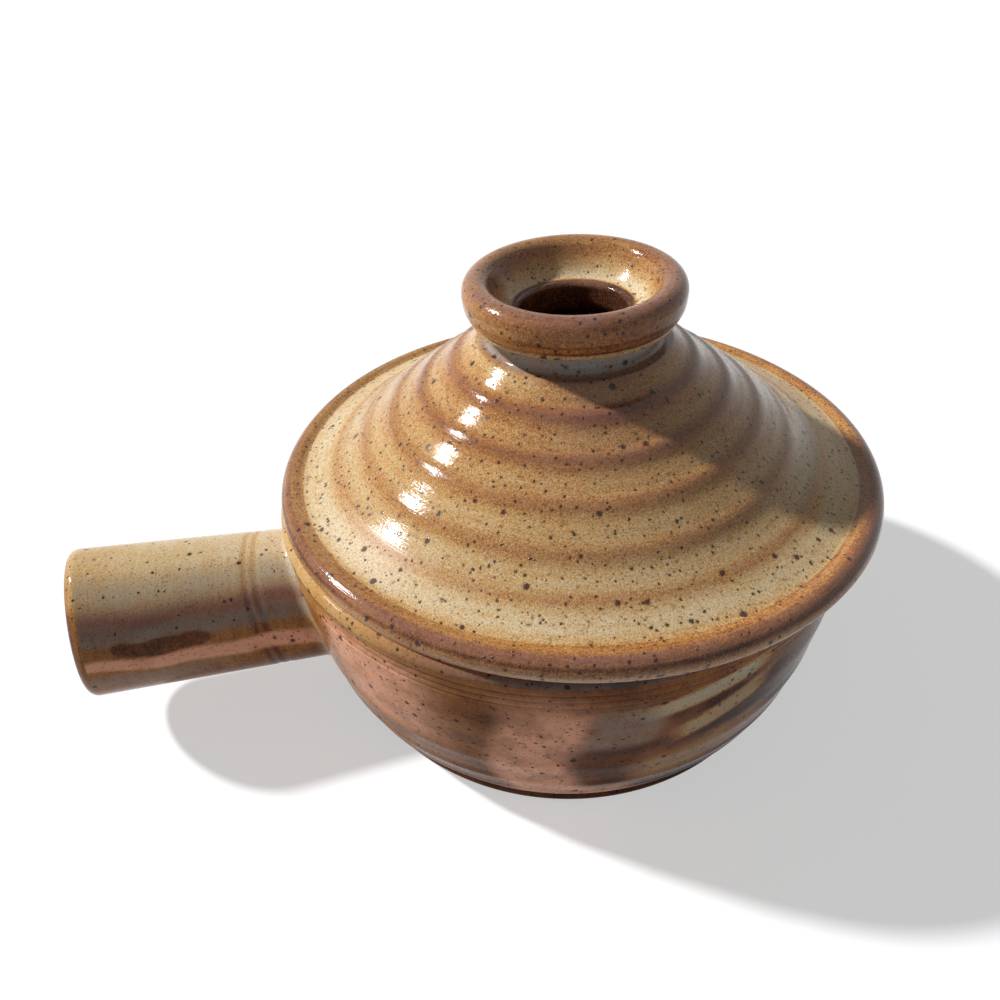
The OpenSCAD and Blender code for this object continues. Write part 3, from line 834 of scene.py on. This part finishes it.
def glaze_body(r, noises, glaze, sandy, streaky):
    """Colour of the glaze before its specks, from the piece's marks."""
    cover = r.mark("cover")
    thick = r.rise(cover, 0.25, 0.6, 0.4, 1.0)
    grain = glaze.grain * sandy
    sand = r.sums("MULTIPLY_ADD", r.rise(noises.grain, 0.36, 0.64), grain, -grain / 2)
    cover = r.sums("ADD", cover, r.sums("MULTIPLY", sand, thick))
    for noise, amount in ((noises.drift, 0.36 - 0.16 * streaky), (noises.patch, 0.36 - 0.14 * streaky),
                          (noises.streak, 0.34 * streaky), (noises.fine_streak, 0.14 * streaky),
                          (noises.fleck, 0.16 + 0.24 * sandy)):
        cover = r.sums("ADD", cover, r.sums("MULTIPLY_ADD", noise, amount, -amount / 2))
    body = r.ramp(cover, (
        (0.00, glaze.scorched), (0.15, glaze.rust_brown), (0.32, glaze.rust), (0.47, glaze.orange_tan),
        (0.63, glaze.golden_tan), (0.80, glaze.cream_tan), (1.00, glaze.pale_cream)))

    rough_edge = r.rise(noises.patch, 0.34, 0.6, 0.6, 1.0)
    # Salmon comes from flushes where the glaze is thin and from the painted warm reflections and highlight
    # marked on the pieces.
    flush = r.rise(noises.drift, 0.54, 0.7, 0.0, 0.16)
    flush = r.sums("MULTIPLY", flush, r.rise(cover, 0.1, 0.5, 1.0, 0.0))
    flush = r.sums("MAXIMUM", flush, r.sums("MULTIPLY", r.mark("painted_warm_reflection"), rough_edge), clamp=True)
    body = r.blend(flush, body, glaze.salmon)
    # Grey blue comes from pooled glaze and from painted shade and painted reflections.
    body = r.blend(r.sums("MULTIPLY", r.mark("cool"), rough_edge, clamp=True), body, glaze.grey_blue)
    crest = r.sums("MULTIPLY", r.rise(noises.patch, 0.38, 0.62, 0.5, 1.0),
                   r.rise(noises.fine_streak, 0.25, 0.6, 0.6, 1.0))
    body = r.blend(r.sums("MULTIPLY", crest, r.mark("edge"), clamp=True), body, glaze.purple_brown)
    pale_grains = r.sums("MULTIPLY", r.rise(noises.grain, 0.58, 0.72, 0.0, 0.34 * sandy), thick)
    return r.blend(pale_grains, body, glaze.pale_cream)


def glaze_specks(r, noises, glaze, speckle, body):
    """A colour with iron specks and their halos over it, and how dark the specks are."""
    shake = r.cloud(noises.here, 1.5, 2.0, output="Color")
    shaken = r.vectors("MULTIPLY_ADD", shake, (0.8, 0.8, 0.8), noises.here)
    tiny, _ = r.spots(shaken, 0.85, 0.26, 0.9)
    small, near_small = r.spots(shaken, 1.7, 0.36, 0.85 * speckle)
    large, near_large = r.spots(shaken, 4.6, 0.74, 0.8 * speckle)
    halo = r.sums("MAXIMUM", r.rise(near_small, 0.9, 2.0, 0.4, 0.0), r.rise(near_large, 0.9, 1.6, 0.4, 0.0))
    body = r.blend(halo, body, glaze.rust_brown)
    body = r.blend(r.sums("MULTIPLY", tiny, glaze.specks * 0.62), body, glaze.rust_brown)
    dark = r.sums("MULTIPLY", r.sums("MAXIMUM", small, large), glaze.specks)
    return r.blend(dark, body, glaze.iron), dark


def glaze_material(name, glaze, seed, speckle, sandy, streaky, shine):
    """Reduction-fired glaze: cream where thick, rust where it breaks, full of iron specks.

    speckle, sandy and streaky say how much of the specks, grain and brush streaks a piece has."""
    r = Recipe(bpy.data.materials.new(name))
    noises = glaze_noises(r, seed)
    body = glaze_body(r, noises, glaze, sandy, streaky)
    body, dark = glaze_specks(r, noises, glaze, speckle, body)
    bare = r.mark("bare")
    clay = r.blend(r.sums("MULTIPLY", noises.grain, 0.4), glaze.clay, glaze.rust_brown)

    shader = r.node("BsdfPrincipled")
    r.feed(shader.inputs["Base Color"], r.blend(bare, body, clay))
    rough = r.sums("MULTIPLY_ADD", noises.patch, 0.08, glaze.gloss - 0.03)
    for mark, amount in ((dark, 0.12), (bare, 0.55), (r.mark("satin"), 0.3)):
        rough = r.sums("MULTIPLY_ADD", mark, amount, rough)
    r.feed(shader.inputs["Roughness"], rough)
    shader.inputs["IOR"].default_value = 1.5
    shader.inputs["Specular IOR Level"].default_value = shine

    relief = r.sums("MULTIPLY", noises.fleck, 0.033)
    for noise, amount in ((noises.fine_streak, 0.05), (dark, 0.07),
                          (r.sums("MULTIPLY", noises.grain, bare), 0.08)):
        relief = r.sums("MULTIPLY_ADD", noise, amount, relief)
    bumps = r.node("Bump")
    bumps.inputs["Strength"].default_value = 1.0
    bumps.inputs["Distance"].default_value = 0.001
    r.feed(bumps.inputs["Height"], relief)
    r.feed(shader.inputs["Normal"], bumps.outputs[0])
    r.feed(r.node("OutputMaterial").inputs[0], shader.outputs[0])
    return r.made


def dress(piece, material, node):
    """Gives a piece its glaze, hangs it under the root body and hides the solid it stands in for."""
    piece.data.materials.append(material)
    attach(piece, "root")
    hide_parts(node)


class COOKER_OT_bowl(bpy.types.Operator):
    """Builds the thrown bowl"""
    bl_idname = "cooker.bowl"
    bl_label = "Bowl"
    bl_options = {"REGISTER", "UNDO"}

    def execute(self, context):
        sizes, glaze = in_millimetres(context.scene.cooker_bowl), context.scene.cooker_glaze
        shape, turn = bowl_outline(sizes), once_round(BOWL_AROUND)
        marks = bowl_marks(sizes, shape, turn)
        piece = piece_from_rows("bowl_body", bowl_rows(sizes, shape, turn), marks, closed=False)
        material = glaze_material("bowl glaze", glaze, seed=3.0, speckle=0.7, sandy=0.35, streaky=0.45,
                                  shine=0.1 * glaze.shine)
        dress(piece, material, "bowl")
        return {"FINISHED"}


class COOKER_OT_handle(bpy.types.Operator):
    """Builds the hollow handle and its joint with the bowl"""
    bl_idname = "cooker.handle"
    bl_label = "Handle"
    bl_options = {"REGISTER", "UNDO"}

    def execute(self, context):
        sizes, glaze = in_millimetres(context.scene.cooker_handle), context.scene.cooker_glaze
        bowl = in_millimetres(context.scene.cooker_bowl)
        rows, reach, turn, tube, end = handle_rows(sizes, bowl)
        marks = handle_marks(sizes, bowl, reach, turn, tube, end)
        piece = piece_from_rows("bowl_handle", rows, marks, closed=False)
        material = glaze_material("handle glaze", glaze, seed=41.0, speckle=0.22, sandy=0.6, streaky=0.8,
                                  shine=0.4 * glaze.shine)
        dress(piece, material, "bowl")
        return {"FINISHED"}


class COOKER_OT_lid(bpy.types.Operator):
    """Builds the lid with its open, flared knob"""
    bl_idname = "cooker.lid"
    bl_label = "Lid"
    bl_options = {"REGISTER", "UNDO"}

    def execute(self, context):
        sizes, glaze = in_millimetres(context.scene.cooker_lid), context.scene.cooker_glaze
        shape, turn = lid_outline(sizes), once_round(LID_AROUND)
        rows = lid_rows(sizes, shape, turn)
        rows += 1000 * np.array([(LID_LOW.x + LID_HIGH.x) / 2, (LID_LOW.y + LID_HIGH.y) / 2, BOWL_TOP])
        piece = piece_from_rows("lid_body", rows, lid_marks(sizes, shape, turn), closed=True)
        material = glaze_material("lid glaze", glaze, seed=17.0, speckle=1.0, sandy=1.0, streaky=1.0,
                                  shine=glaze.shine)
        dress(piece, material, "lid")
        return {"FINISHED"}


class COOKER_OT_stage(bpy.types.Operator):
    """Builds the pale floor, the even light, the soft lamp and the camera"""
    bl_idname = "cooker.stage"
    bl_label = "Stage"
    bl_options = {"REGISTER", "UNDO"}

    def execute(self, context):
        scene, stage = context.scene, context.scene.cooker_stage
        scene.view_settings.view_transform = "Standard"
        self.make_floor(scene, stage)
        self.make_world(scene, stage)
        self.make_lamp(scene, stage)
        self.make_camera(scene, stage)
        return {"FINISHED"}

    def make_floor(self, scene, stage):
        mesh = bpy.data.meshes.new("floor")
        turns = np.linspace(0, FULL_TURN, 64, endpoint=False)
        rim = [(stage.floor_radius * math.cos(t), stage.floor_radius * math.sin(t), 0.0) for t in turns]
        mesh.from_pydata(rim, [], [tuple(range(len(rim)))])
        floor = bpy.data.objects.new("floor", mesh)
        scene.collection.objects.link(floor)
        r = Recipe(bpy.data.materials.new("floor"))
        shader = r.node("BsdfDiffuse")
        shader.inputs["Color"].default_value = (*stage.floor_colour, 1.0)
        glow = r.node("Emission")
        r.feed(glow.inputs["Strength"], r.sums("MULTIPLY", r.shown(), stage.floor_glow))
        both = r.node("AddShader")
        r.feed(both.inputs[0], shader.outputs[0])
        r.feed(both.inputs[1], glow.outputs[0])
        r.feed(r.node("OutputMaterial").inputs[0], both.outputs[0])
        mesh.materials.append(r.made)

    def make_world(self, scene, stage):
        r = Recipe(bpy.data.worlds.new("studio"))
        background = r.node("Background")
        background.inputs["Color"].default_value = (1.0, 1.0, 1.0, 1.0)
        r.feed(background.inputs["Strength"], r.sums("MULTIPLY_ADD", r.shown(), 1 - stage.fill, stage.fill))
        r.feed(r.node("OutputWorld").inputs[0], background.outputs[0])
        scene.world = r.made

    def make_lamp(self, scene, stage):
        heading = stage.camera_heading
        right = Vector((math.cos(heading), math.sin(heading), 0))
        ahead = Vector((-math.sin(heading), math.cos(heading), 0))
        level, up = math.cos(stage.key_elevation), math.sin(stage.key_elevation)
        towards = level * (ahead * math.sin(stage.key_heading) - right * math.cos(stage.key_heading))
        towards += Vector((0, 0, up))
        lamp = bpy.data.lights.new("key", "SUN")
        lamp.angle, lamp.energy = stage.key_spread, stage.key_strength
        key = bpy.data.objects.new("key", lamp)
        key.location = towards
        key.rotation_euler = towards.to_track_quat("Z", "Y").to_euler()
        scene.collection.objects.link(key)

    def make_camera(self, scene, stage):
        lens = bpy.data.cameras.new("camera")
        lens.sensor_fit, lens.sensor_width, lens.lens = "HORIZONTAL", SENSOR_WIDTH, stage.camera_lens
        lens.clip_start = 0.01
        camera = bpy.data.objects.new("camera", lens)
        turn = Matrix.Rotation(stage.camera_heading, 4, "Z") @ Matrix.Rotation(
            math.pi / 2 - stage.camera_pitch, 4, "X") @ Matrix.Rotation(stage.camera_roll, 4, "Z")
        camera.matrix_world = Matrix.Translation(Vector(stage.camera_place)) @ turn
        scene.collection.objects.link(camera)
        scene.camera = camera


class COOKER_PT_panel(bpy.types.Panel):
    """Lists the steps and the sizes of the cooker"""
    bl_idname = "COOKER_PT_panel"
    bl_label = "Stoneware Cooker"
    bl_space_type = "VIEW_3D"
    bl_region_type = "UI"
    bl_category = "Cooker"

    def draw(self, context):
        for operator in OPERATORS:
            self.layout.operator(operator.bl_idname)
        for key, label in GROUPS:
            group = getattr(context.scene, key)
            box = self.layout.box()
            box.label(text=label)
            for name in type(group).__annotations__:
                box.prop(group, name)


OPERATORS = (COOKER_OT_bowl, COOKER_OT_handle, COOKER_OT_lid, COOKER_OT_stage)
GROUPS = (("cooker_bowl", "Bowl"), ("cooker_handle", "Handle"), ("cooker_lid", "Lid"),
          ("cooker_glaze", "Glaze"), ("cooker_stage", "Stage"))
PROPERTY_GROUPS = (CookerBowlSizes, CookerHandleSizes, CookerLidSizes, CookerGlaze, CookerStage)


def register():
    for group in (*PROPERTY_GROUPS, *OPERATORS, COOKER_PT_panel):
        bpy.utils.register_class(group)
    for (key, _), group in zip(GROUPS, PROPERTY_GROUPS):
        setattr(bpy.types.Scene, key, PointerProperty(type=group))


def unregister():
    for key, _ in GROUPS:
        delattr(bpy.types.Scene, key)
    for group in reversed((*PROPERTY_GROUPS, *OPERATORS, COOKER_PT_panel)):
        bpy.utils.unregister_class(group)


def main():
    register()
    bpy.ops.cooker.bowl()
    bpy.ops.cooker.handle()
    bpy.ops.cooker.lid()
    bpy.ops.cooker.stage()


if __name__ == "__main__":
    main()
